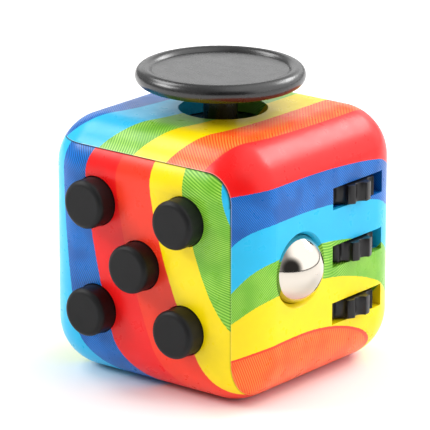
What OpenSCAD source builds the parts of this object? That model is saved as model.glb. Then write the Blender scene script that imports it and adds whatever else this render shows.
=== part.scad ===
// Fidget cube: two interlocking shells round six small mechanisms, one per face.
// Click (-Y) has five sprung buttons, roll (+X) a ball and three gears, and glide
// (+Z) a sliding joystick. Flip (+Y) has a rocker, spin (-X) a dial, and rest (-Z)
// a thumb dish in the face that the cube stands on.
//
// Each face has a local frame: w points out of the face and is measured from the
// centre of the cube, v points up (along +Y on the glide face), and u is the third.

/* [Cube] */
// Width, depth and height of the cube
cube_w = 33; // [33:0.1:33.4]
// Radius of the rounded edges and corners
edge_r = 6.55; // [6.3:0.05:6.7]
// Thickness of the flat walls
wall = 2; // [1.8:0.1:2]
// Distance from the seam to the outer face of the shell that laps over
seam_depth = 3; // [2.8:0.1:3.2]

/* [Click buttons] */
// Radius of a button
button_r = 3.07; // [2.9:0.01:3.15]
// Height of a button above its face
button_h = 2.6; // [2.2:0.1:2.8]
// Distance from the middle button to the outer ones along the face's sides
button_pitch = 6.95; // [6.8:0.05:7]
// Travel of a button
button_travel = 1.3; // [0.8:0.1:1.3]

/* [Glide joystick] */
// Radius of the middle of the disc's round rim
rim_r = 9.48; // [9:0.01:9.8]
// Thickness of the round rim
rim_t = 2.32; // [2:0.02:2.4]
// Height of the middle of the rim above the face
rim_h = 4.3; // [4.1:0.1:4.6]
// Depth of the flat recess in the disc
recess_depth = 0.5; // [0.4:0.1:0.6]
// Radius of the stem
stem_r = 2.13; // [2:0.01:2.2]
// Radius of the hole that the stem moves in
glide_hole_r = 5.6; // [5.5:0.05:5.7]
// Travel of the stem from the middle of the hole, along each side of the cube
glide_travel = 2.3; // [2:0.1:2.3]
// Where the stem comes to rest, from the middle of the hole
glide_rest = [-0.27, -0.21];

/* [Ball and gears] */
// Radius of the ball
ball_r = 4.5; // [4.4:0.02:4.5]
// Height of the ball above its face
ball_h = 2.5; // [2.4:0.02:2.5]
// Distance of the ball from the middle of its face
ball_u = -5.55; // [-5.6:0.01:-5.5]
// Radius of the ball's opening at the face
ball_mouth_r = 4.8; // [4.75:0.01:4.85]
// Travel of the ball when it is pressed
ball_travel = 0.8; // [0.5:0.1:0.8]
// Outer radius of a gear
gear_r = 4.5; // [4.3:0.1:4.5]
// Thickness of a gear
gear_t = 2.4; // [2.2:0.1:2.4]
// Height of a gear above its face
gear_h = 1.3; // [1:0.1:1.4]
// Number of teeth on a gear
gear_teeth = 10; // [8:1:12]
// Distance between the gears
gear_pitch = 7.43; // [7.4:0.01:7.5]
// Angle of each gear's first tooth, from the lowest gear to the highest
gear_phase = [8, 16, 7];
// Ends of the gear slots along the face
slot_u = [0.93, 11.2];
// Height of a gear slot
slot_h = 2.83; // [2.8:0.01:2.9]
// Radius of the gears' shaft
shaft_r = 1; // [0.9:0.05:1]

/* [Rocker] */
// Angle between the rocker's two positions
rocker_swing = 24; // [20:1:24]
// Width of the rocker
rocker_w = 7; // [6:0.5:7]
// Height of the flush half of the rocker above its face
rocker_flush_h = 0.6; // [0.5:0.1:0.7]
// Radius of the rocker's pin
rocker_pin_r = 0.6; // [0.5:0.05:0.6]

/* [Dial] */
// Radius of the dial
dial_r = 8.5; // [8:0.1:8.6]
// Height of the dial above its face
dial_h = 2.5; // [2.3:0.1:2.6]
// Number of grip notches round the dial
dial_notches = 20; // [12:1:24]
// Number of clicks in one turn of the dial
dial_clicks = 12; // [8:1:14]

/* [Thumb dish] */
// Radius of the dish
dish_r = 8; // [7:0.1:8.2]
// Depth of the dish
dish_depth = 1.6; // [1.2:0.1:1.7]

/* [Hidden] */
$fn = 48;

half = cube_w / 2;
inner = half - edge_r;             // where the flat part of a face ends
wall_in = half - wall;             // inner side of a flat wall
pocket = 11.5;                     // half-width of the hollow behind each face
split_far = half - seam_depth;     // seam, seen from the glide shell's faces
split_near = inner + sqrt(edge_r ^ 2 - (split_far - inner) ^ 2);
peg_at = (pocket + split_near) / 2 - 0.2;
peg_gap = 5;                       // pegs stand this far from the middle of an edge
peg_r = 0.8;
peg_h = 1.2;

gap = 0.1;                         // between a moving piece and what it slides by
fit = 0.05;                        // running fit of shafts
reach = 2 * cube_w;                // longer than anything it cuts

screw_r = 0.5;
screw_head_r = 1.1;
screw_head_h = 0.6;
screw_l = 3;

button_hole_r = button_r + 0.12;
button_edge_r = 0.7;
flange_r = 3.85;
flange_t = 0.75;
button_top = half + button_h;
button_back = wall_in - gap - flange_t;
button_bore_r = 1.7;
button_bore_top = button_top - 1.7;
click_plate_top = button_back - button_travel - fit;
click_plate_t = 0.9;
click_plate_w = 21.8;
click_screw_at = 9.2;
spring_r = 1.2;
spring_wire_r = 0.2;
BUTTON_PLACES = [[-1, 1], [1, 1], [0, 0], [-1, -1], [1, -1]] * button_pitch;

rim_w = half + rim_h;
disc_floor = rim_w + rim_t / 2 - recess_depth;
disc_web_t = 1.2;
boss_w = half + 2.1;               // underside of the disc's boss
spigot_r = 1.4;
spigot_top = disc_floor - 0.8;
slider_r = 9;
slider_top = wall_in - gap;
slider_t = 1;
foot_w = 4;
cover_top = slider_top - slider_t - gap;
cover_t = 1.05;
cover_w = 22.6;
cover_bottom = cover_top - cover_t;
cover_opening = foot_w + 2 * glide_travel + 0.6;
cover_screw_at = 10.2;
carriage_top = cover_bottom - gap;
carriage_t = 1.1;
carriage_w = [10, 17];
rail_w = 18;
rail_t = 1.3;
rail_bottom = carriage_top - carriage_t - gap - 0.7;

ball_w = half + ball_h - ball_r;   // centre of the ball
mouth_depth = 0.7;                 // from the face to the lip that keeps the ball
lip_w = half - mouth_depth;
lip_r = sqrt(ball_r ^ 2 - (lip_w - ball_w) ^ 2) + 0.07;
seat_r = ball_r + 0.06;
cup_r = 5.1;
cup_top = wall_in - 0.6;
cup_bottom = ball_w - ball_r - 1.4;
sleeve_r = cup_r + 0.65;
sleeve_floor = cup_bottom - ball_travel - 2.6;
bracket_top = 8.2;
bracket_t = 1.4;
bracket_half_v = 10;
bracket_u = [-11.3, 10.4];
BRACKET_SCREWS = [[-9.6, 8.8], [-9.6, -8.8], [9.1, 3.8], [9.1, -3.8]];

gear_u = (slot_u[0] + slot_u[1]) / 2;
gear_w = half + gear_h - gear_r;   // axis of the gears
flute_r = 0.95;
flute_at = gear_r + 0.25;
tooth_step = 360 / gear_teeth;
ear_u = [4.4, 7.7];
EARS = [[-9.9, -8.9], [-4.5, -3.1], [3.1, 4.5], [8.9, 9.9]];
gear_leaf = [7, 1.6, 0.25];
bead_r = 0.35;

pivot_w = half - 2.9;              // axis of the rocker
rocker_tilt = rocker_swing / 2;
rocker_d = half + rocker_flush_h - pivot_w;
rocker_raised = half + button_h - pivot_w;
rocker_r = sqrt(rocker_d ^ 2
    + ((rocker_raised - rocker_d * cos(rocker_swing)) / sin(rocker_swing)) ^ 2);
cradle_top = 11.4;
cradle_t = 0.8;
cradle_w = [21.8, 19.6];
CRADLE_SCREWS = [[9.2, 8], [9.2, -8], [-9.2, 8], [-9.2, -8]];
cradle_ear_u = [4, 5.2];
rocker_nose = 1.65;                // from the pin to the middle of the rocker's nose
rocker_nose_r = 0.25;
rocker_leaf = [3, 10, 0.2];

dial_recess = 0.6;
dial_back = half - dial_recess + 0.2;
dial_shaft_r = 2.5;
dial_spigot_r = 1.5;
hub_r = 5;
hub_t = 1.2;
hub_top = wall_in - 0.6;
click_r = 0.6;
dial_post_r = 0.9;
DIAL_SPRING_POSTS = [[-6.6, 6.8], [-6.6, -6.8]];

// ---- Local frames of the faces ----

module on_glide() {
    translate([0, 0, half])
        children();
}

module on_click() {
    translate([0, 0, half])
        rotate([90, 0, 0])
            children();
}

module on_roll() {
    translate([0, 0, half])
        rotate([90, 0, 90])
            children();
}

module on_flip() {
    translate([0, 0, half])
        rotate([90, 0, 180])
            children();
}

module on_spin() {
    translate([0, 0, half])
        rotate([90, 0, 270])
            children();
}

module on_rest() {
    translate([0, 0, half])
        rotate([180, 0, 0])
            children();
}

// ---- Shapes used more than once ----

// A box from one corner to the other
module span(low, high) {
    translate(low)
        cube(high - low);
}

// A cylinder along w from one height to the other
module post(r, low, high) {
    translate([0, 0, low])
        cylinder(r = r, h = high - low);
}

// A countersunk screw whose head is flush with the height w and whose tip points out
module screw(w) {
    difference() {
        translate([0, 0, w])
            union() {
                cylinder(r1 = screw_head_r, r2 = screw_r, h = screw_head_h);
                cylinder(r = screw_r, h = screw_l);
            }
        translate([0, 0, w])
            cube([1.3, 0.3, 0.5], center = true);
        translate([0, 0, w])
            cube([0.3, 1.3, 0.5], center = true);
    }
}

// The room that a screw takes in the plate that it holds
module screw_hole(w, plate_t) {
    translate([0, 0, w])
        cylinder(r1 = screw_head_r, r2 = screw_r, h = screw_head_h);
    post(screw_r, w + screw_head_h / 2, w + plate_t + 1);
}

// A hollow post that a screw from below cuts its thread in
module screw_post(low) {
    post(1.3, low, wall_in + 0.2);
}

module pilot(low) {
    post(screw_r, low - 1, low + screw_l);
}

// A compression spring along w, with ends cut square by its ring of wire
function coil_point(r, low, high, turns, wire, s, side) =
    let (
        a = 360 * turns * s,
        b = 60 * side,
        rr = r + wire * cos(b)
    )
    [rr * cos(a), rr * sin(a), low + wire + (high - low - 2 * wire) * s + wire * sin(b)];

module coil(r, low, high, turns, wire) {
    rings = turns * 10;
    sides = 6;
    points = [
        for (i = [0 : rings], k = [0 : sides - 1])
            coil_point(r, low, high, turns, wire, i / rings, k)
    ];
    walls = [
        for (i = [0 : rings - 1], k = [0 : sides - 1])
            [
                i * sides + k, i * sides + (k + 1) % sides,
                (i + 1) * sides + (k + 1) % sides, (i + 1) * sides + k
            ]
    ];
    start = [for (k = [sides - 1 : -1 : 0]) k];
    end = [for (k = [0 : sides - 1]) rings * sides + k];
    polyhedron(points, concat(walls, [start], [end]), convexity = 10);
}

// ---- Shells ----

// The cube with rounded edges and corners, centred on the origin
module rounded_block() {
    long = 2 * half;
    short = 2 * inner;
    cube([long, short, short], center = true);
    cube([short, long, short], center = true);
    cube([short, short, long], center = true);
    for (turn = [[0, 0, 0], [90, 0, 0], [0, 90, 0]], i = [0 : 3])
        rotate(turn)
            rotate([0, 0, 90 * i])
                translate([inner, inner, -inner])
                    rotate_extrude(angle = 90)
                        square([edge_r, short]);
    for (i = [0 : 3], flip = [0, 1])
        rotate([0, 0, 90 * i])
            mirror([0, 0, flip])
                translate([inner, inner, inner])
                    rotate_extrude(angle = 90)
                        intersection() {
                            circle(r = edge_r);
                            square(edge_r);
                        }
}

// The block with the hollow that the mechanisms sit in
module hollow_block() {
    deep = 2 * wall_in;
    wide = 2 * pocket;
    difference() {
        rounded_block();
        cube([deep, wide, wide], center = true);
        cube([wide, deep, wide], center = true);
        cube([wide, wide, deep], center = true);
    }
}

// Everything that belongs to the glide shell: the glide, roll and flip faces, the
// edges between them, and nothing of the other three faces
module glide_region() {
    lap = inner - 0.3;
    difference() {
        union() {
            span([split_far, -reach, -reach], [reach, reach, reach]);
            span([-reach, split_far, -reach], [reach, reach, reach]);
            span([-reach, -reach, split_far], [reach, reach, reach]);
            span([lap, lap, -reach], [reach, reach, reach]);
            span([lap, -reach, lap], [reach, reach, reach]);
            span([-reach, lap, lap], [reach, reach, reach]);
        }
        span([-reach, -reach, -reach] * 1.5, [-split_near, 1.5 * reach, 1.5 * reach]);
        span([-reach, -reach, -reach] * 1.5, [1.5 * reach, -split_near, 1.5 * reach]);
        span([-reach, -reach, -reach] * 1.5, [1.5 * reach, 1.5 * reach, -split_near]);
    }
}

// Pegs across the seam of one of the glide shell's faces
module pegs(r, h, side) {
    for (at = [
            [side * peg_at, peg_gap], [side * peg_at, -peg_gap],
            [peg_gap, -peg_at], [-peg_gap, -peg_at]
        ])
        translate(at)
            post(r, split_far - 0.01, split_far + h);
}

module all_pegs(r, h) {
    on_glide()
        pegs(r, h, -1);
    on_roll()
        pegs(r, h, -1);
    on_flip()
        pegs(r, h, 1);
}

module click_screw_places() {
    for (a = [0 : 90 : 270])
        rotate([0, 0, a])
            translate([click_screw_at, 0, 0])
                children();
}

module cover_screw_places() {
    for (x = [-1, 1], y = [-1, 1])
        translate([x, y] * cover_screw_at)
            children();
}

module places(list) {
    for (at = list)
        translate(at)
            children();
}

module click_shell() {
    color([0.18, 0.5, 0.85])
        difference() {
            union() {
                translate([0, 0, half])
                    difference() {
                        hollow_block();
                        glide_region();
                    }
                on_click()
                    click_screw_places()
                        screw_post(click_plate_top);
                on_spin()
                    places(DIAL_SPRING_POSTS)
                        post(dial_post_r, hub_top - hub_t, wall_in + 0.2);
                on_rest()
                    post(dish_r + 1.5, wall_in - 1.4, wall_in + 0.2);
                all_pegs(peg_r, peg_h);
            }
            on_click()
                places(BUTTON_PLACES)
                    post(button_hole_r, pocket, half + 1);
            on_click()
                click_screw_places()
                    pilot(click_plate_top);
            on_spin()
                post(dial_shaft_r + fit, pocket, half + 1);
            on_spin()
                post(dial_r + 0.4, half - dial_recess, half + 1);
            on_rest()
                translate([0, 0, half - dish_depth + (dish_r ^ 2 + dish_depth ^ 2) / (2 * dish_depth)])
                    sphere(r = (dish_r ^ 2 + dish_depth ^ 2) / (2 * dish_depth));
        }
}

// The ball's opening: it narrows to a lip, and widens again behind it
module ball_opening() {
    translate([ball_u, 0, 0])
        rotate_extrude()
            polygon([
                [0, pocket], [seat_r + 0.08, pocket], [seat_r + 0.08, lip_w - 0.7],
                [lip_r, lip_w], [ball_mouth_r, half], [ball_mouth_r + 0.3, half + 0.5],
                [0, half + 0.5]
            ]);
}

module glide_shell() {
    color([0.95, 0.8, 0.1])
        difference() {
            union() {
                translate([0, 0, half])
                    intersection() {
                        hollow_block();
                        glide_region();
                    }
                on_glide()
                    cover_screw_places()
                        screw_post(cover_top);
                on_roll()
                    places(BRACKET_SCREWS)
                        screw_post(bracket_top);
                on_flip()
                    places(CRADLE_SCREWS)
                        screw_post(cradle_top);
            }
            all_pegs(peg_r + 0.02, peg_h + 0.2);
            on_glide()
                post(glide_hole_r, pocket, half + 1);
            on_glide()
                cover_screw_places()
                    pilot(cover_bottom);
            on_roll()
                ball_opening();
            on_roll()
                for (k = [-1 : 1])
                    span(
                        [slot_u[0], k * gear_pitch - slot_h / 2, pocket],
                        [slot_u[1], k * gear_pitch + slot_h / 2, half + 1]
                    );
            on_roll()
                places(BRACKET_SCREWS)
                    pilot(bracket_top);
            on_flip()
                span(
                    [-rocker_w / 2 - 0.2, -rocker_r - 0.2, pocket],
                    [rocker_w / 2 + 0.2, rocker_r + 0.2, half + 1]
                );
            on_flip()
                places(CRADLE_SCREWS)
                    pilot(cradle_top);
        }
}

// ---- Click face ----

// A plate behind the buttons, with a stud in each of their springs
module click_plate() {
    low = click_plate_top - click_plate_t;
    color([0.2, 0.2, 0.21])
        on_click()
            difference() {
                union() {
                    span(
                        [-click_plate_w / 2, -click_plate_w / 2, low],
                        [click_plate_w / 2, click_plate_w / 2, click_plate_top]
                    );
                    places(BUTTON_PLACES)
                        post(0.85, low, click_plate_top + 0.7);
                }
                click_screw_places()
                    screw_hole(low, click_plate_t);
            }
}

module button(k) {
    color([0.12, 0.12, 0.13])
        on_click()
            translate(BUTTON_PLACES[k])
                difference() {
                    rotate_extrude() {
                        square([button_r, button_top - button_edge_r]);
                        square([button_r - button_edge_r, button_top]);
                        translate([button_r - button_edge_r, button_top - button_edge_r])
                            circle(r = button_edge_r);
                        translate([0, button_back])
                            square([flange_r, flange_t]);
                    }
                    post(reach, -1, button_back);
                    post(button_bore_r, button_back - 1, button_bore_top);
                }
}

module button_spring(k) {
    color([0.75, 0.75, 0.77])
        on_click()
            translate(BUTTON_PLACES[k])
                coil(spring_r, click_plate_top, button_bore_top, 5, spring_wire_r);
}

// ---- Glide face ----

module glide_disc() {
    color([0.12, 0.12, 0.13])
        on_glide()
            translate(glide_rest)
                difference() {
                    rotate_extrude() {
                        translate([rim_r, rim_w])
                            circle(r = rim_t / 2);
                        translate([0, disc_floor - disc_web_t])
                            square([rim_r, disc_web_t]);
                        polygon([
                            [0, boss_w], [stem_r + 0.4, boss_w],
                            [stem_r + 1.8, disc_floor - disc_web_t / 2],
                            [0, disc_floor - disc_web_t / 2]
                        ]);
                    }
                    post(spigot_r, boss_w - 1, spigot_top);
                }
}

// The stem with the round plate that slides under the wall and the square foot
module glide_slider() {
    color([0.12, 0.12, 0.13])
        on_glide()
            translate(glide_rest) {
                post(spigot_r, slider_top, spigot_top);
                post(stem_r, slider_top - slider_t, boss_w);
                post(slider_r, slider_top - slider_t, slider_top);
                span(
                    [-foot_w / 2, -foot_w / 2, carriage_top - carriage_t],
                    [foot_w / 2, foot_w / 2, slider_top - slider_t / 2]
                );
            }
}

// The plate that the foot slides along, and that itself slides across the cover
module glide_carriage() {
    low = carriage_top - carriage_t;
    slot_v = foot_w / 2 + glide_travel + 0.2;
    color([0.55, 0.55, 0.57])
        on_glide()
            translate([glide_rest[0], 0, 0])
                difference() {
                    span(
                        [-carriage_w[0] / 2, -carriage_w[1] / 2, low],
                        [carriage_w[0] / 2, carriage_w[1] / 2, carriage_top]
                    );
                    span(
                        [-foot_w / 2 - fit, -slot_v, low - 1],
                        [foot_w / 2 + fit, slot_v, carriage_top + 1]
                    );
                }
}

module glide_cover() {
    open = cover_opening / 2;
    rail_v = carriage_w[1] / 2 + fit;
    color([0.2, 0.2, 0.21])
        on_glide()
            difference() {
                union() {
                    span([-cover_w / 2, -cover_w / 2, cover_bottom], [cover_w / 2, cover_w / 2, cover_top]);
                    for (side = [0, 1])
                        mirror([0, side, 0]) {
                            span([-rail_w / 2, rail_v, rail_bottom], [rail_w / 2, rail_v + rail_t, cover_top - 0.2]);
                            span([-rail_w / 2, rail_v - 0.7, rail_bottom], [rail_w / 2, rail_v + 0.1, rail_bottom + 0.7]);
                        }
                }
                span([-open, -open, 0], [open, open, half]);
                cover_screw_places()
                    screw_hole(cover_bottom, cover_t);
            }
}

module centring_ring() {
    color([0.3, 0.3, 0.32])
        on_glide()
            difference() {
                post(cover_opening / 2 - gap, cover_bottom + 0.1, cover_top - 0.1);
                post(3.3, cover_bottom - 1, cover_top + 1);
            }
}

// ---- Roll face ----

module roll_ball() {
    color([0.8, 0.8, 0.82])
        on_roll()
            translate([ball_u, 0, ball_w])
                sphere(r = ball_r, $fn = 64);
}

module ball_cup() {
    color([0.85, 0.85, 0.82])
        on_roll()
            translate([ball_u, 0, 0])
                difference() {
                    post(cup_r, cup_bottom, cup_top);
                    translate([0, 0, ball_w])
                        sphere(r = seat_r, $fn = 64);
                }
}

module ball_spring() {
    color([0.75, 0.75, 0.77])
        on_roll()
            translate([ball_u, 0, 0])
                coil(3, sleeve_floor, cup_bottom, 4, 0.3);
}

// One moulding that guides the ball's cup and carries the gears' shaft
module roll_bracket() {
    low = bracket_top - bracket_t;
    color([0.2, 0.2, 0.21])
        on_roll()
            difference() {
                union() {
                    span([bracket_u[0], -bracket_half_v, low], [bracket_u[1], bracket_half_v, bracket_top]);
                    translate([ball_u, 0, 0])
                        post(sleeve_r, sleeve_floor - 0.8, cup_top);
                    for (ear = EARS)
                        span([ear_u[0], ear[0], low], [ear_u[1], ear[1], wall_in - 0.1]);
                }
                translate([ball_u, 0, 0])
                    post(cup_r + fit, sleeve_floor, half);
                translate([gear_u, 0, gear_w])
                    rotate([90, 0, 0])
                        cylinder(r = shaft_r, h = cube_w, center = true);
                // Room for the gears' springs to bend into
                for (k = [-1 : 1])
                    translate([gear_u, k * gear_pitch, bracket_top])
                        cube([gear_leaf[0] - 2, gear_leaf[1] + 0.4, 3 * bracket_t], center = true);
                places(BRACKET_SCREWS)
                    screw_hole(low, bracket_t);
            }
}

module gear(k) {
    color([0.12, 0.12, 0.13])
        on_roll()
            translate([gear_u, (k - 1) * gear_pitch, gear_w])
                rotate([90, 0, 0])
                    linear_extrude(gear_t, center = true)
                        difference() {
                            circle(r = gear_r);
                            circle(r = shaft_r + fit);
                            // Angles run from w towards u
                            for (i = [0 : gear_teeth - 1])
                                rotate(90 - gear_phase[k] - tooth_step * (i + 0.5))
                                    translate([flute_at, 0])
                                        circle(r = flute_r);
                        }
}

module gear_shaft() {
    color([0.75, 0.75, 0.77])
        on_roll()
            translate([gear_u, 0, gear_w])
                rotate([90, 0, 0])
                    cylinder(r = shaft_r, h = 2 * bracket_half_v - 0.2, center = true);
}

// A leaf on the bracket whose bead rests in the gear's nearest flute
module gear_spring(k) {
    flute = round((180 - gear_phase[k]) / tooth_step - 0.5) + 0.5;
    a = gear_phase[k] + tooth_step * flute;
    bead = [gear_u, gear_w] + (flute_at - flute_r + bead_r + 0.1) * [sin(a), cos(a)];
    color([0.75, 0.75, 0.77])
        on_roll()
            translate([0, (k - 1) * gear_pitch, 0]) {
                translate([gear_u, 0, bracket_top + gear_leaf[2] / 2])
                    cube(gear_leaf, center = true);
                translate([bead[0], 0, bead[1]])
                    rotate([90, 0, 0])
                        cylinder(r = bead_r, h = gear_leaf[1], center = true);
                span(
                    [bead[0] - 0.15, -gear_leaf[1] / 2, bracket_top + 0.1],
                    [bead[0] + 0.15, gear_leaf[1] / 2, bead[1]]
                );
            }
}

// ---- Flip face ----

// The rocker's outline about its pin, level between its two positions
module rocker_outline() {
    far = rocker_r + 1;
    rise = (rocker_d + far * sin(rocker_tilt)) / cos(rocker_tilt);
    intersection() {
        circle(r = rocker_r, $fn = 96);
        polygon([
            [-far, 0.2], [-1.2, -1.1], [1.2, -1.1], [far, 0.2],
            [far, rise], [0, rocker_d / cos(rocker_tilt)], [-far, rise]
        ]);
    }
    translate([0, -rocker_nose])
        circle(r = rocker_nose_r, $fn = 24);
    translate([-rocker_nose_r, -rocker_nose])
        square([2 * rocker_nose_r, rocker_nose - 0.9]);
}

module flip_rocker() {
    color([0.12, 0.12, 0.13])
        on_flip()
            translate([0, 0, pivot_w])
                rotate([rocker_tilt, 0, 0])
                    rotate([90, 0, 90])
                        difference() {
                            linear_extrude(rocker_w, center = true)
                                rocker_outline();
                            cylinder(r = rocker_pin_r + fit, h = reach, center = true);
                        }
}

module rocker_pin() {
    color([0.75, 0.75, 0.77])
        on_flip()
            translate([0, 0, pivot_w])
                rotate([0, 90, 0])
                    cylinder(r = rocker_pin_r, h = 2 * cradle_ear_u[1], center = true);
}

module rocker_cradle() {
    low = cradle_top - cradle_t;
    color([0.2, 0.2, 0.21])
        on_flip()
            difference() {
                union() {
                    span([-cradle_w[0] / 2, -cradle_w[1] / 2, low], [cradle_w[0] / 2, cradle_w[1] / 2, cradle_top]);
                    for (side = [0, 1])
                        mirror([side, 0, 0])
                            span([cradle_ear_u[0], -1.6, low], [cradle_ear_u[1], 1.6, wall_in - 0.05]);
                }
                translate([0, 0, pivot_w])
                    rotate([0, 90, 0])
                        cylinder(r = rocker_pin_r, h = reach, center = true);
                // Room for the rocker's spring to bend into
                translate([0, 0, cradle_top])
                    cube([rocker_leaf[0] + 0.4, rocker_leaf[1] - 2.4, 3 * cradle_t], center = true);
                places(CRADLE_SCREWS)
                    screw_hole(low, cradle_t);
            }
}

// A thin leaf with a bead that the rocker's nose snaps across
module rocker_spring() {
    color([0.75, 0.75, 0.77])
        on_flip() {
            translate([0, 0, cradle_top + rocker_leaf[2] / 2])
                cube(rocker_leaf, center = true);
            translate([0, 0, cradle_top + rocker_leaf[2] / 2])
                rotate([0, 90, 0])
                    cylinder(r = 0.3, h = rocker_leaf[0], center = true);
        }
}

// ---- Spin face ----

module spin_dial() {
    finger_r = 5;
    color([0.12, 0.12, 0.13])
        on_spin()
            difference() {
                rotate_extrude() {
                    translate([0, dial_back])
                        square([dial_r, half + dial_h - 0.8 - dial_back]);
                    translate([0, dial_back])
                        square([dial_r - 0.8, half + dial_h - dial_back]);
                    translate([dial_r - 0.8, half + dial_h - 0.8])
                        circle(r = 0.8);
                    translate([0, hub_top])
                        square([dial_shaft_r, dial_back - hub_top + 0.2]);
                    translate([0, hub_top - hub_t])
                        square([dial_spigot_r, hub_t + 0.2]);
                }
                post(0.8, hub_top - hub_t - 1, half + 0.5);
                translate([0, 3.9, half + dial_h + finger_r - 1.6])
                    sphere(r = finger_r, $fn = 64);
                for (i = [0 : dial_notches - 1])
                    rotate([0, 0, 360 * (i + 0.5) / dial_notches])
                        translate([dial_r + 0.25, 0, 0])
                            post(0.6, half - 1, half + dial_h + 1);
            }
}

// The notched wheel behind the wall
module dial_hub() {
    color([0.55, 0.55, 0.57])
        on_spin()
            difference() {
                post(hub_r, hub_top - hub_t, hub_top);
                post(dial_spigot_r, 0, half);
                for (i = [0 : dial_clicks - 1])
                    rotate([0, 0, 360 * i / dial_clicks])
                        translate([hub_r + 0.1, 0, 0])
                            post(click_r, 0, half);
            }
}

module dial_screw() {
    low = hub_top - hub_t;
    color([0.75, 0.75, 0.77])
        on_spin()
            difference() {
                union() {
                    post(2.2, low - 0.6, low);
                    post(0.8, low - 0.3, half);
                }
                span([-1.5, -0.2, low - 1], [1.5, 0.2, low - 0.35]);
                span([-0.2, -1.5, low - 1], [0.2, 1.5, low - 0.35]);
            }
}

module dial_washer() {
    color([0.75, 0.75, 0.77])
        on_spin()
            difference() {
                post(4.6, hub_top + gap, wall_in - gap);
                post(dial_shaft_r + 0.2, 0, half);
            }
}

// A leaf between two posts, with a bead that clicks into the wheel's notches
module dial_spring() {
    low = hub_top - hub_t + 0.2;
    high = low + 0.8;
    leaf_u = -hub_r - 0.4;
    color([0.75, 0.75, 0.77])
        on_spin()
            difference() {
                union() {
                    span([leaf_u - 0.3, DIAL_SPRING_POSTS[1][1], low], [leaf_u, DIAL_SPRING_POSTS[0][1], high]);
                    translate([leaf_u + 0.05, 0, 0])
                        post(0.4, low, high);
                    places(DIAL_SPRING_POSTS)
                        post(dial_post_r + 0.25, low, high);
                }
                places(DIAL_SPRING_POSTS)
                    post(dial_post_r, 0, half);
            }
}

// ---- Screws: the same size in every plate ----

module plate_screws() {
    color([0.6, 0.6, 0.62]) {
        on_click()
            click_screw_places()
                screw(click_plate_top - click_plate_t);
        on_glide()
            cover_screw_places()
                screw(cover_bottom);
        on_roll()
            places(BRACKET_SCREWS)
                screw(bracket_top - bracket_t);
        on_flip()
            places(CRADLE_SCREWS)
                screw(cradle_top - cradle_t);
    }
}

click_shell();
glide_shell();
click_plate();
glide_cover();
roll_bracket();
rocker_cradle();
plate_screws();
button(0);  // button_upper_left
button(1);  // button_upper_right
button(2);  // button_centre
button(3);  // button_lower_left
button(4);  // button_lower_right
button_spring(0);  // spring_upper_left
button_spring(1);  // spring_upper_right
button_spring(2);  // spring_centre
button_spring(3);  // spring_lower_left
button_spring(4);  // spring_lower_right
glide_disc();
glide_slider();
glide_carriage();
centring_ring();
roll_ball();
ball_cup();
ball_spring();
gear(0);  // gear_lower
gear(1);  // gear_middle
gear(2);  // gear_upper
gear_shaft();
gear_spring(0);  // gear_spring_lower
gear_spring(1);  // gear_spring_middle
gear_spring(2);  // gear_spring_upper
flip_rocker();
rocker_pin();
rocker_spring();
spin_dial();
dial_hub();
dial_screw();
dial_washer();
dial_spring();
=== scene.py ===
"""Looks of the fidget cube: printed shells, black controls, a chrome ball, a white table."""

import math

import bmesh
import bpy
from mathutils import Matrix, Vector

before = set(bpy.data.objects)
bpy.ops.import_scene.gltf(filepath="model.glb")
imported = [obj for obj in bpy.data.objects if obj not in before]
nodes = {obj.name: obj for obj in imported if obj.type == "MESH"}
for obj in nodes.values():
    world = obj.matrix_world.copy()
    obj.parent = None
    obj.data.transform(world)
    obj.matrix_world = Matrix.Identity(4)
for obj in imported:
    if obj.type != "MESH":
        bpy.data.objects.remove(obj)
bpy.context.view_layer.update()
MM = 0.001

# In millimetres: half the cube's width, the radius of its rounded edges, and how far
# from its middle the faces are flat
HALF = 16.5
EDGE = 6.55
FLAT = HALF - EDGE

centre = Vector((0, 0, HALF * MM))


# ---- Small helpers for node trees ----

def srgb(r, g, b):
    """A colour given as 0 to 255, as the linear RGBA that the shader wants."""
    def lin(c):
        c /= 255
        return c / 12.92 if c <= 0.04045 else ((c + 0.055) / 1.055) ** 2.4
    return (lin(r), lin(g), lin(b), 1.0)


def scaled(colour, factor, plus=0.0):
    """The colour with each channel times the factor, plus a constant."""
    return tuple(min(1.0, c * factor + plus) for c in colour[:3]) + (1.0,)


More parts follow.
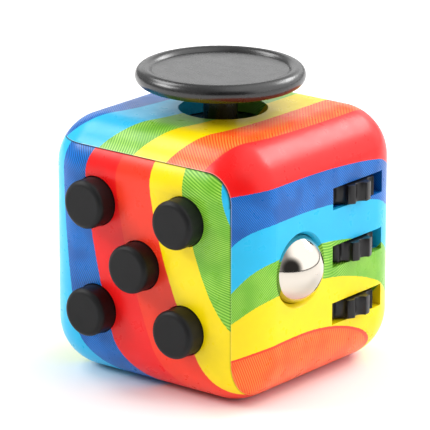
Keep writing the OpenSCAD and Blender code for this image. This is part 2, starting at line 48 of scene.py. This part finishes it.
class Graph:
    """A node tree and short ways to add nodes to it. Values are sockets or numbers."""

    def __init__(self, tree):
        self.tree = tree

    def node(self, kind, **settings):
        made = self.tree.nodes.new(kind)
        for key, value in settings.items():
            setattr(made, key, value)
        return made

    def put(self, socket, value):
        if isinstance(value, bpy.types.NodeSocket):
            self.tree.links.new(value, socket)
        else:
            socket.default_value = value

    def math(self, operation, a, b=0.0, c=0.0):
        made = self.node("ShaderNodeMath", operation=operation)
        for socket, value in zip(made.inputs, (a, b, c)):
            self.put(socket, value)
        return made.outputs[0]

    def add(self, a, b):
        return self.math("ADD", a, b)

    def sub(self, a, b):
        return self.math("SUBTRACT", a, b)

    def mul(self, a, b):
        return self.math("MULTIPLY", a, b)

    def div(self, a, b):
        return self.math("DIVIDE", a, b)

    def most(self, a, b):
        return self.math("MAXIMUM", a, b)

    def least(self, a, b):
        return self.math("MINIMUM", a, b)

    def blend(self, *terms):
        """The sum of value times weight over the terms."""
        total = 0.0
        for value, weight in terms:
            total = self.math("MULTIPLY_ADD", value, weight, total)
        return total

    def falloff(self, value, start, length):
        """1 at start, falling exponentially over length."""
        return self.math("EXPONENT", self.div(self.sub(start, value), length))

    def span(self, value, low, high, to_low=0.0, to_high=1.0, smooth=True):
        """Maps low to high onto to_low to to_high, and holds the ends beyond them."""
        made = self.node("ShaderNodeMapRange", interpolation_type="SMOOTHSTEP" if smooth else "LINEAR")
        for socket, v in zip(made.inputs, (value, low, high, to_low, to_high)):
            self.put(socket, v)
        return made.outputs[0]

    def wave(self, value, pitch):
        """0 to 1 and back once in each pitch."""
        turned = self.math("SINE", self.mul(value, 2 * math.pi / pitch))
        return self.math("MULTIPLY_ADD", turned, 0.5, 0.5)


class Look(Graph):
    """A material."""

    INPUTS = {
        "color": "Base Color",
        "metallic": "Metallic",
        "roughness": "Roughness",
        "ior": "IOR",
        "specular": "Specular IOR Level",
        "normal": "Normal",
    }

    def __init__(self, name):
        self.material = bpy.data.materials.new(name)
        self.material.use_nodes = True
        super().__init__(self.material.node_tree)

    def noise(self, vector, scale, detail=2.0):
        made = self.node("ShaderNodeTexNoise")
        self.put(made.inputs["Vector"], vector)
        made.inputs["Scale"].default_value = scale
        made.inputs["Detail"].default_value = detail
        return made.outputs["Fac"]

    def steps(self, value, stops):
        """The colour of the last stop that the value has passed."""
        made = self.node("ShaderNodeValToRGB")
        made.color_ramp.interpolation = "CONSTANT"
        elements = made.color_ramp.elements
        while len(elements) > 1:
            elements.remove(elements[-1])
        elements[0].position, elements[0].color = stops[0]
        for position, colour in stops[1:]:
            elements.new(position).color = colour
        self.put(made.inputs[0], value)
        return made.outputs[0]

    def mix(self, amount, a, b):
        made = self.node("ShaderNodeMix", data_type="RGBA")
        for name, value in (("Factor_Float", amount), ("A_Color", a), ("B_Color", b)):
            self.put(next(s for s in made.inputs if s.identifier == name), value)
        return next(s for s in made.outputs if s.identifier == "Result_Color")

    def bump(self, height, strength, distance):
        """Bumps from 0 to distance millimetres high, seen with the given strength."""
        made = self.node("ShaderNodeBump")
        made.inputs["Strength"].default_value = strength
        made.inputs["Distance"].default_value = distance * MM
        self.put(made.inputs["Height"], height)
        return made.outputs[0]

    def place(self):
        """The object's own coordinates, in millimetres."""
        coordinates = self.node("ShaderNodeTexCoord").outputs["Object"]
        larger = self.node("ShaderNodeVectorMath", operation="SCALE")
        self.put(larger.inputs[0], coordinates)
        larger.inputs["Scale"].default_value = 1 / MM
        parts = self.node("ShaderNodeSeparateXYZ")
        self.put(parts.inputs[0], larger.outputs[0])
        return larger.outputs[0], parts.outputs

    def set(self, **values):
        """Sets inputs of the shader and returns the material."""
        shader = self.tree.nodes["Principled BSDF"]
        for key, value in values.items():
            self.put(shader.inputs[self.INPUTS[key]], value)
        return self.material


# ---- The print on the shells ----

INKS = {
    "blue": srgb(0, 72, 150),
    "cyan": srgb(30, 188, 236),
    "green": srgb(92, 170, 26),
    "yellow": srgb(255, 226, 0),
    "orange": srgb(255, 74, 8),
    "coral": srgb(250, 58, 32),
    "red": srgb(244, 22, 22),
}
# The lines drawn over the three hatched inks
LINES = {
    "blue": srgb(14, 128, 222),
    "green": srgb(166, 222, 84),
    "orange": srgb(255, 138, 58),
}
# The channel that says where each hatched ink is
CHANNELS = {"blue": (1, 0, 0, 1), "green": (0, 1, 0, 1), "orange": (0, 0, 1, 1)}
NO_CHANNEL = (0, 0, 0, 1)
DIRT = (0.03, 0.03, 0.03, 1)
# Painted shadow for the seam's gap on the click shell
SEAM_SHADOW = (0.004, 0.004, 0.004, 1)
# Painted highlight for the thin lip along the seam on the glide shell
LIP_HIGHLIGHT = (1.0, 0.9, 0.75, 1)

# Where each ink starts along the value of the shell's field, and where the last one ends
CLICK_BANDS = (
    (-52.0, "blue"), (-43.0, "red"), (-37.0, "orange"), (-31.0, "yellow"), (-25.0, "green"),
    (-19.5, "cyan"), (-13.3, "blue"), (-8.9, "red"), (-4.0, "coral"), (1.4, "yellow"),
    (6.5, "green"), (11.9, "cyan"),
)
CLICK_END = 20.0
GLIDE_BANDS = (
    (-24.0, "blue"), (-7.3, "cyan"), (-1.7, "green"), (3.2, "yellow"), (7.8, "orange"),
    (13.0, "red"), (21.1, "blue"), (25.7, "cyan"), (30.3, "green"), (34.9, "yellow"),
    (41.0, "coral"), (41.4, "orange"), (55.0, "yellow"),
)
GLIDE_END = 60.0

# Where the seam runs along a rounded edge: how far from the cube's middle towards the glide
# shell's face, and so how far towards the click shell's. At a corner it turns aside.
SEAM_FAR = 13.5
SEAM_NEAR = FLAT + math.sqrt(EDGE ** 2 - (SEAM_FAR - FLAT) ** 2)
SEAM_TURN = FLAT - 0.3


def bands(g, t, stops, end):
    """Inks by the value of t. Returns the ink, the colour of the lines over it, and how
    much each of the hatched inks is here."""
    start = stops[0][0]
    place = g.span(t, start, end, smooth=False)

    def pick(colour_of):
        return g.steps(place, [((t0 - start) / (end - start), colour_of(ink)) for t0, ink in stops])

    share = g.node("ShaderNodeSeparateColor")
    g.put(share.inputs[0], pick(lambda ink: CHANNELS.get(ink, NO_CHANNEL)))
    return pick(INKS.get), pick(lambda ink: LINES.get(ink, INKS[ink])), share.outputs


def past_seam(g, x, y, z):
    """How far past the seam, from the click shell (negative) to the glide shell."""
    up = g.sub(z, HALF)
    highest = g.most(g.most(x, y), up)
    lowest = g.least(g.least(x, y), up)
    middle = g.blend((x, 1.0), (y, 1.0), (up, 1.0), (highest, -1.0), (lowest, -1.0))
    reached = g.most(g.sub(highest, SEAM_FAR), g.sub(middle, SEAM_TURN))
    return g.least(reached, g.add(lowest, SEAM_NEAR))


def printed(name, field, stops, end, hatching, shade, amount, width, dull):
    """The bands with their hatching, and a painted line along the seam, a painted shadow on one shell
    and a painted highlight on the other: its colour, how strong and how wide it is, and how much
    rougher than the print."""
    g = Look(name)
    vector, (x, y, z) = g.place()
    ragged = g.mul(g.sub(g.noise(vector, 2.5), 0.5), 0.12)
    ink, line, share = bands(g, g.add(field(g, x, y, z), ragged), stops, end)
    drawn = g.blend(*(
        (g.wave(along, pitch), here)
        for (along, pitch), here in zip(hatching(g, x, y, z), share)
    ))
    patchy = g.span(g.noise(vector, 0.3, 1.0), 0.35, 0.62, 0.5, 1.0)
    colour = g.mix(g.mul(g.span(drawn, 0.2, 0.8), patchy), ink, line)
    cloudy = g.noise(vector, 0.7, 3.0)
    colour = g.mix(g.span(cloudy, 0.3, 0.7, 0.0, 0.04), colour, DIRT)
    away = g.math("ABSOLUTE", past_seam(g, x, y, z))
    # The painted seam line is fainter low down
    strength = g.mul(g.span(away, 0.0, width, amount, 0.0), g.span(z, 14.0, 28.0, 0.4, 1.0))
    return g.set(
        color=g.mix(strength, colour, shade),
        roughness=g.add(g.span(cloudy, 0.3, 0.7, 0.27, 0.33), g.span(away, 0.0, width, dull, 0.0)),
        ior=1.5,
        specular=0.3,
        normal=g.bump(g.noise(vector, 1.2), strength=0.03, distance=0.03),
    )


def click_field(g, x, y, z):
    """Bands that fall from the top edge, and lean to the right and widen as they go down."""
    depth = g.add(y, HALF)
    down = g.least(g.most(g.add(g.sub(30.0, z), g.mul(depth, 0.7)), 0.0), 31.5)
    lean = g.math("POWER", g.div(down, 23.5), 1.7)
    across = g.sub(x, g.mul(depth, g.span(x, 9.0, -9.0)))
    t = g.div(g.sub(across, g.mul(lean, 7.0)), g.add(g.mul(lean, 0.3), 1.0))
    # On the left side of the cube they sway
    sway = g.mul(g.math("SINE", g.add(g.mul(z, 0.27), g.mul(y, 0.12))), 3.2)
    return g.add(t, g.mul(sway, g.span(x, -12.0, -16.4)))


def glide_field(g, x, y, z):
    """Bands that run back over the glide face and, turned down, along the roll face."""
    front = -15.4
    on_top = g.span(g.sub(g.sub(z, HALF), x), -3.0, 3.0)
    # On the glide face they curve away near the front edge
    curve = g.mul(g.falloff(y, front, 5.0), g.sub(4.7, g.mul(x, 0.11)))
    # On the roll face they dip at the front, most at middle height, and droop at the back
    level = g.div(g.sub(z, 15.5), 9.0)
    swell = g.math("EXPONENT", g.mul(g.mul(level, level), -1.0))
    dip = g.mul(g.falloff(y, front, 1.8), g.mul(swell, 3.6))
    back = g.most(g.add(y, 6.0), 0.0)
    droop = g.mul(g.mul(back, back), g.sub(0.018, g.mul(z, 0.0005)))
    side = g.mul(g.add(dip, droop), g.sub(on_top, 1.0))
    t = g.add(g.add(g.sub(x, z), 2 * HALF), g.add(g.mul(curve, on_top), side))
    # The front edge is rounded, which would drag the bands along with it
    past = g.most(g.sub(-FLAT, y), 0.0)
    drop = g.sub(EDGE, g.math("SQRT", g.sub(EDGE * EDGE, g.mul(past, past))))
    t = g.add(t, g.mul(drop, g.sub(1.0, g.mul(on_top, 2.0))))
    # On the back of the cube they sway
    sway = g.mul(g.math("SINE", g.add(g.mul(x, 0.24), g.mul(z, 0.2))), 2.6)
    return g.add(t, g.mul(sway, g.span(y, 12.0, 16.4)))


def click_hatching(g, x, y, z):
    """For blue, green and orange, a value whose level curves the lines follow, and the
    pitch of the lines."""
    bend = g.math("SINE", g.mul(z, 0.3))
    return (
        (g.blend((x, 0.7), (z, 0.68), (bend, 1.4)), 0.26),
        (g.blend((x, 0.35), (z, 0.94), (bend, 0.8)), 0.29),
        (g.blend((x, 0.8), (z, 0.5)), 0.32),
    )


def glide_hatching(g, x, y, z):
    """As above, for the other shell, where the green lines run in arches."""
    arch = g.math("SINE", g.mul(g.add(y, 4.0), 0.24))
    return (
        (g.blend((x, 0.62), (y, 0.7), (z, 0.7)), 0.25),
        (g.blend((x, -0.95), (y, -0.45), (z, 1.0), (arch, 3.96)), 0.36),
        (g.blend((x, 0.78), (y, 1.02), (z, 0.3), (g.mul(y, z), -0.0121)), 0.36),
    )


# A painted shadow shows the seam's gap on the click shell, and a painted highlight a thin lip on the
# glide shell
click_print = printed(
    "click_print", click_field, CLICK_BANDS, CLICK_END, click_hatching,
    shade=SEAM_SHADOW, amount=1.0, width=0.22, dull=0.6,
)
glide_print = printed(
    "glide_print", glide_field, GLIDE_BANDS, GLIDE_END, glide_hatching,
    shade=LIP_HIGHLIGHT, amount=0.3, width=0.08, dull=0.0,
)


# ---- Plain materials ----

def plastic(name, colour, roughness, grain=26.0, depth=0.1, specular=0.5):
    """Moulded plastic or rubber, with a fine grain and slightly uneven colour and gloss."""
    g = Look(name)
    vector, _ = g.place()
    cloudy = g.noise(vector, 0.5, 3.0)
    return g.set(
        color=g.mix(g.span(cloudy, 0.3, 0.7, 0.0, 0.5), colour, scaled(colour, 1.5, 0.004)),
        roughness=g.span(cloudy, 0.3, 0.7, roughness - 0.02, roughness + 0.02),
        ior=1.5,
        specular=specular,
        normal=g.bump(g.noise(vector, grain, 3.0), strength=depth, distance=0.08),
    )


def metal(name, colour, low, high, scratch):
    """Metal with fine scratches, whose roughness goes from low to high."""
    g = Look(name)
    vector, _ = g.place()
    stretched = g.node("ShaderNodeMapping")
    g.put(stretched.inputs["Vector"], vector)
    stretched.inputs["Scale"].default_value = (0.3, 6.0, 2.0)
    return g.set(
        color=colour,
        metallic=1.0,
        roughness=g.span(g.noise(vector, 0.8, 3.0), 0.35, 0.75, low, high),
        normal=g.bump(g.noise(stretched.outputs[0], scratch, 4.0), strength=0.05, distance=0.03),
    )


button_black = plastic("button_black", srgb(12, 12, 13), 0.5, depth=0.08, specular=0.24)
control_black = plastic("control_black", srgb(16, 16, 17), 0.27, grain=14.0, depth=0.04, specular=0.75)
gear_black = plastic("gear_black", srgb(20, 19, 20), 0.3, grain=12.0, depth=0.08, specular=0.36)
inner_black = plastic("inner_black", srgb(34, 34, 36), 0.55)
inner_grey = plastic("inner_grey", srgb(120, 120, 122), 0.5)
acetal = plastic("acetal", srgb(225, 222, 212), 0.3)
soft_black = plastic("soft_black", srgb(30, 30, 30), 0.8, grain=8.0, depth=0.3)
chrome = metal("chrome", srgb(208, 200, 189), 0.03, 0.08, 3.0)
steel = metal("steel", srgb(186, 186, 190), 0.22, 0.36, 4.0)

GEARS = ("gear_lower", "gear_middle", "gear_upper")
LOOKS = {
    "click_shell": click_print,
    "glide_shell": glide_print,
    "glide_disc": control_black,
    "glide_slider": control_black,
    "flip_rocker": control_black,
    "spin_dial": control_black,
    "glide_carriage": inner_grey,
    "dial_hub": inner_grey,
    "centring_ring": soft_black,
    "ball_cup": acetal,
    "roll_ball": chrome,
    "click_plate": inner_black,
    "glide_cover": inner_black,
    "roll_bracket": inner_black,
    "rocker_cradle": inner_black,
}
LOOKS.update((name, gear_black) for name in GEARS)
LOOKS.update((name, button_black) for name in nodes if name.startswith("button_"))

# The springs, shaft, pin, screws and washer are steel
for name, piece in nodes.items():
    piece.data.materials.clear()
    piece.data.materials.append(LOOKS.get(name, steel))


# ---- Softened edges ----

def soften(name, width):
    """Rounds the sharp edges of a CAD node by a fraction of a millimetre."""
    weld = nodes[name].modifiers.new("weld", "WELD")
    weld.merge_threshold = 0.002 * MM
    bevel = nodes[name].modifiers.new("bevel", "BEVEL")
    bevel.width = width * MM
    bevel.segments = 2
    bevel.limit_method = "ANGLE"
    bevel.angle_limit = math.radians(34)
    even = nodes[name].modifiers.new("even", "WEIGHTED_NORMAL")
    even.keep_sharp = True


soften("click_shell", 0.08)
soften("glide_shell", 0.08)
for name in GEARS:
    soften(name, 0.1)


# ---- Stage ----

def floor(width, colour):
    """A flat floor with a faint change of shade, about four times over its width."""
    mesh = bpy.data.meshes.new("floor")
    made = bmesh.new()
    bmesh.ops.create_grid(made, x_segments=1, y_segments=1, size=width / 2)
    made.to_mesh(mesh)
    made.free()
    piece = bpy.data.objects.new("floor", mesh)
    bpy.context.scene.collection.objects.link(piece)
    g = Look("floor")
    vector, _ = g.place()
    soft = g.noise(vector, 4 * MM / width)
    mesh.materials.append(g.set(color=g.mix(soft, colour, scaled(colour, 1.05)), roughness=0.8))


def direction(azimuth, elevation):
    """From the cube towards a place seen at this azimuth (0 is -Y) and elevation."""
    a, e = math.radians(azimuth), math.radians(elevation)
    return Vector((math.sin(a) * math.cos(e), -math.cos(a) * math.cos(e), math.sin(e)))


def softbox(name, azimuth, elevation, distance, size, power):
    """An area lamp that shines on the cube."""
    data = bpy.data.lights.new(name, "AREA")
    data.shape = "RECTANGLE"
    data.size, data.size_y = size
    data.energy = power
    lamp = bpy.data.objects.new(name, data)
    bpy.context.scene.collection.objects.link(lamp)
    out = direction(azimuth, elevation)
    lamp.location = centre + out * distance
    lamp.rotation_euler = out.to_track_quat("Z", "Y").to_euler()


def tent():
    """The room: a pale tent, brighter on the right and open round the camera, with a dark
    line where it meets the floor. Seen directly it is plain white."""
    world = bpy.data.worlds.new("studio")
    bpy.context.scene.world = world
    world.use_nodes = True
    g = Graph(world.node_tree)
    looking = g.node("ShaderNodeTexCoord").outputs["Generated"]

    def toward(axis, zero_at, one_at):
        """0 to 1 as the cosine of the angle to the axis goes from zero_at to one_at."""
        lean = g.node("ShaderNodeVectorMath", operation="DOT_PRODUCT")
        g.put(lean.inputs[0], looking)
        g.put(lean.inputs[1], axis)
        return g.span(lean.outputs["Value"], zero_at, one_at)

    cloth = g.add(g.mul(toward(direction(125, 34), 0.35, 0.8), 1.35), 0.42)
    closed = toward(direction(50, 12), 0.95, 0.75)
    off_floor = toward((0, 0, 1), 0.01, 0.06)
    glow = g.add(g.mul(g.mul(closed, off_floor), cloth), 0.04)
    seen = g.node("ShaderNodeLightPath").outputs["Is Camera Ray"]
    background = g.tree.nodes["Background"]
    background.inputs["Color"].default_value = (1, 1, 1, 1)
    g.put(background.inputs["Strength"], g.most(glow, seen))


floor(6.0, srgb(247, 246, 246))
softbox("left_low", -52, 34, 0.9, (0.4, 0.3), 4.2)
softbox("left_high", -86, 50, 0.9, (0.4, 0.3), 2.5)
softbox("back", 165, 36, 1.0, (0.5, 0.3), 4.0)
softbox("rear", 215, 17, 1.2, (1.2, 0.45), 1.6)
tent()
bpy.context.scene.view_settings.view_transform = "Standard"


# ---- Camera ----

# A long lens a little above the cube, aimed above its middle
DISTANCE = 0.48076
AIM_MM = (-1.24, -0.08, 2.27)
camera_data = bpy.data.cameras.new("camera")
camera_data.sensor_width = 36
camera_data.lens = 320.4
camera_data.clip_start = 0.01
camera = bpy.data.objects.new("camera", camera_data)
bpy.context.scene.collection.objects.link(camera)
camera.location = centre + direction(38.5, 17.46) * DISTANCE
aim = centre + Vector(AIM_MM) * MM
camera.rotation_euler = (aim - camera.location).to_track_quat("-Z", "Y").to_euler()
bpy.context.scene.camera = camera
